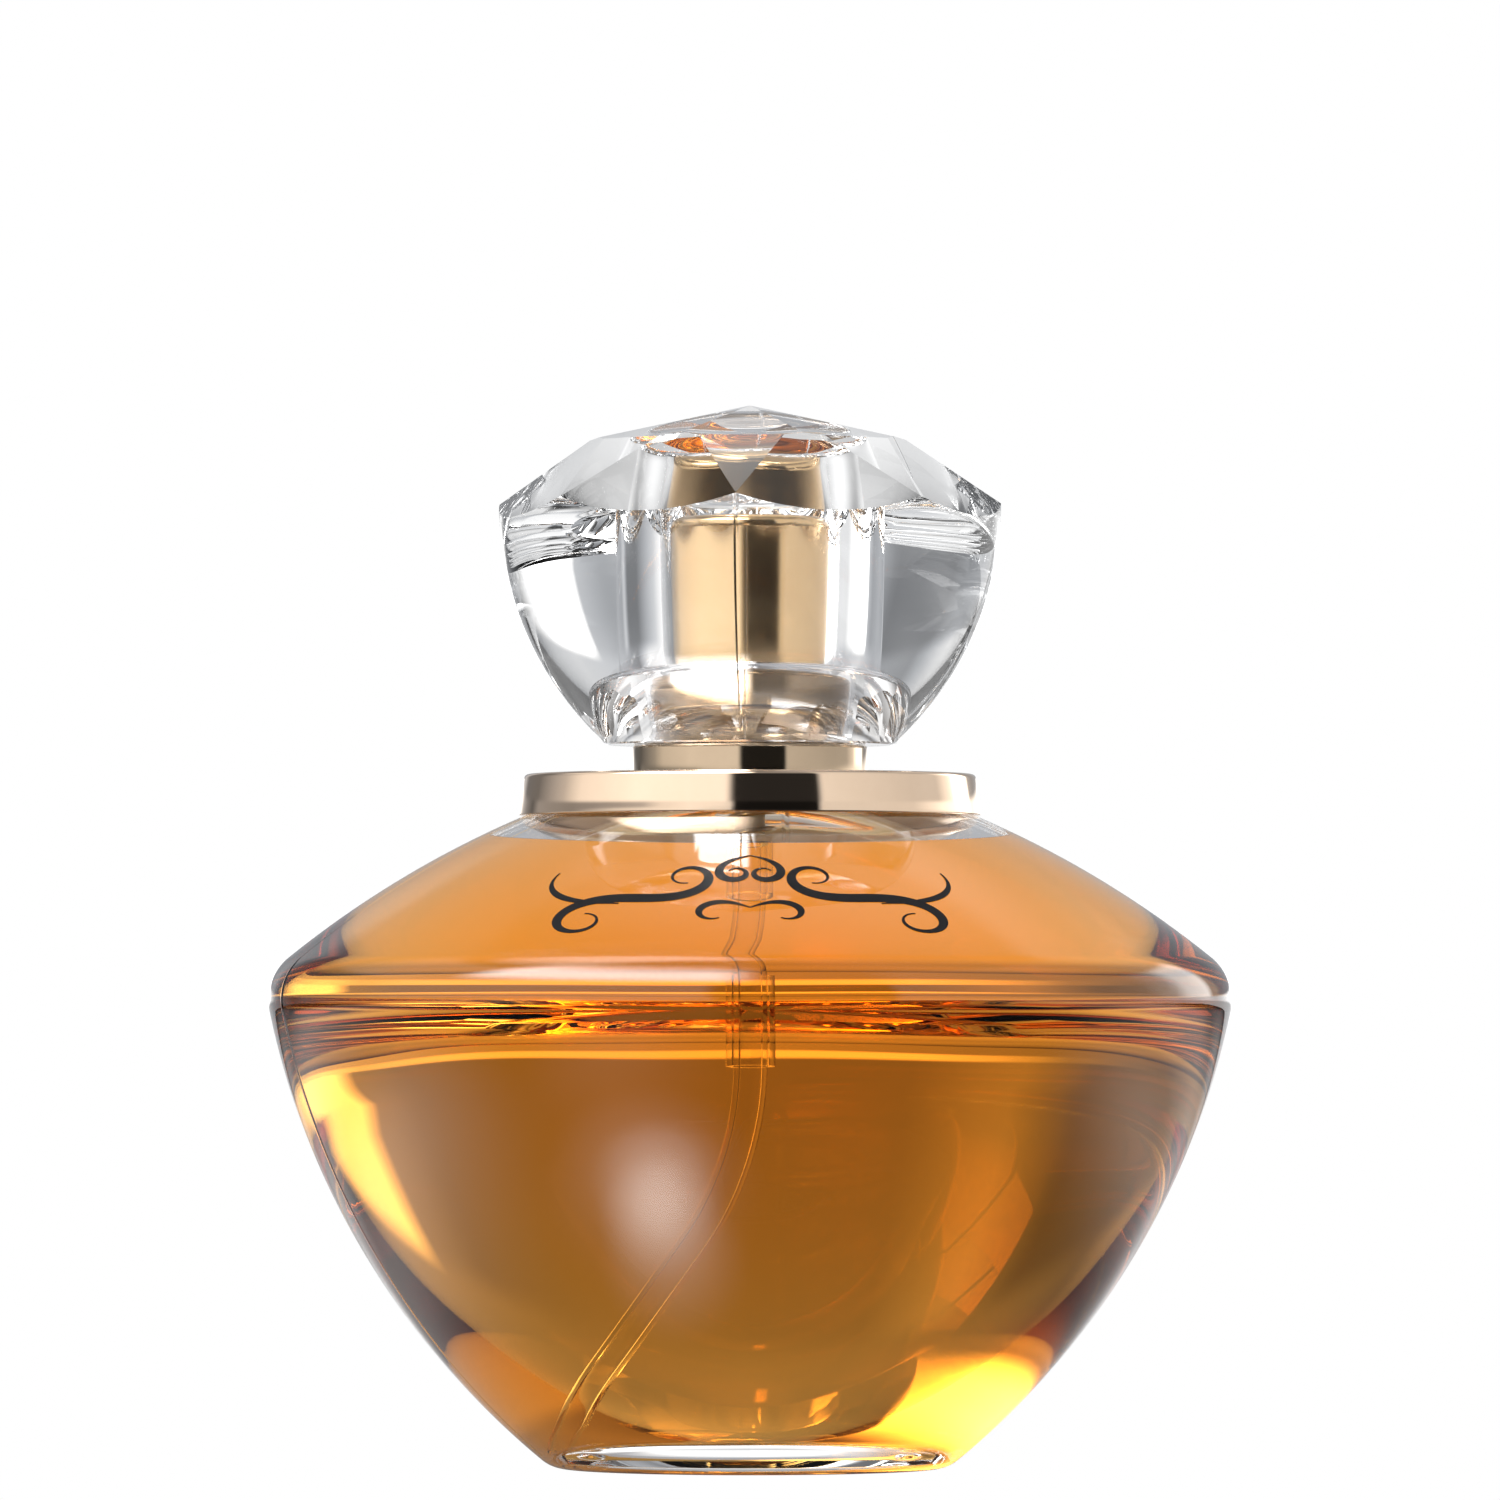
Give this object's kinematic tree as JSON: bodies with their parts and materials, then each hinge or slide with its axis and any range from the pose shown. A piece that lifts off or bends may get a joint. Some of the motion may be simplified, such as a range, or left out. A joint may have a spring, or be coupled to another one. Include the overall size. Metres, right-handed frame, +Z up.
{
  "type": "perfume bottle",
  "caption": "Round clear glass perfume bottle with amber liquid, gold shoulder ring and collar, a crimped spray pump and a clear faceted pull-off cap.",
  "frame": {"origin": "centre of the base, on the surface that the bottle stands on", "axes": "+Z up along the bottle's axis, +Y towards the side that the spray comes out of, -Y towards the printed front"},
  "size_m": [0.077, 0.077, 0.085],
  "materials": {
    "bottle_glass": "polished clear glass",
    "perfume": "clear amber liquid",
    "tube_plastic": "translucent polyethylene",
    "pump_plastic": "natural polypropylene",
    "ball_glass": "polished",
    "spring_steel": "drawn stainless wire",
    "piston_plastic": "natural polyethylene",
    "stem_plastic": "natural acetal",
    "seal_rubber": "matte",
    "lid_plastic": "white polypropylene",
    "gasket_rubber": "matte",
    "ferrule_aluminium": "satin",
    "ring_carrier": "moulded",
    "ring_gold": "bright pale gold anodised",
    "collar_carrier": "moulded",
    "collar_gold": "bright pale gold anodised",
    "actuator_plastic": "white polypropylene",
    "actuator_gold": "bright warm gold anodised",
    "nozzle_plastic": "white",
    "liner_plastic": "clear",
    "cap_plastic": "polished clear acrylic"
  },
  "bodies": {
    "bottle": {"glass_bottle": "bottle_glass", "perfume_liquid": "perfume", "dip_tube": "tube_plastic", "pump_housing": "pump_plastic", "return_spring": "spring_steel", "stem_seal": "seal_rubber", "housing_lid": "lid_plastic", "neck_gasket": "gasket_rubber", "crimp_ferrule": "ferrule_aluminium", "ring_insert": "ring_carrier", "shoulder_ring": "ring_gold", "collar_insert": "collar_carrier", "collar": "collar_gold"},
    "ball": {"inlet_ball": "ball_glass"},
    "plunger": {"pump_stem": "stem_plastic", "pump_piston": "piston_plastic"},
    "actuator": {"actuator_core": "actuator_plastic", "actuator_sleeve": "actuator_gold", "spray_nozzle": "nozzle_plastic"},
    "cap": {"cap_liner": "liner_plastic", "cap_crown": "cap_plastic"}
  },
  "joints": [
    {"name": "cap_pull", "type": "slide", "parent": "bottle", "child": "cap", "axis": [0, 0, 1], "range_m": [0, 0.03]},
    {"name": "actuator_press", "type": "slide", "parent": "bottle", "child": "plunger", "axis": [0, 0, 1], "range_m": [-0.004, 0], "stiffness_N_per_m": 500, "springref_m": 0.004, "deforming": ["return_spring"]},
    {"name": "actuator_turn", "type": "hinge", "parent": "plunger", "child": "actuator", "pos_m": [0, 0, 0.07], "axis": [0, 0, 1], "continuous": true},
    {"name": "ball_lift", "type": "slide", "parent": "bottle", "child": "ball", "axis": [0, 0, 1], "range_m": [0, 0.0005]}
  ]
}
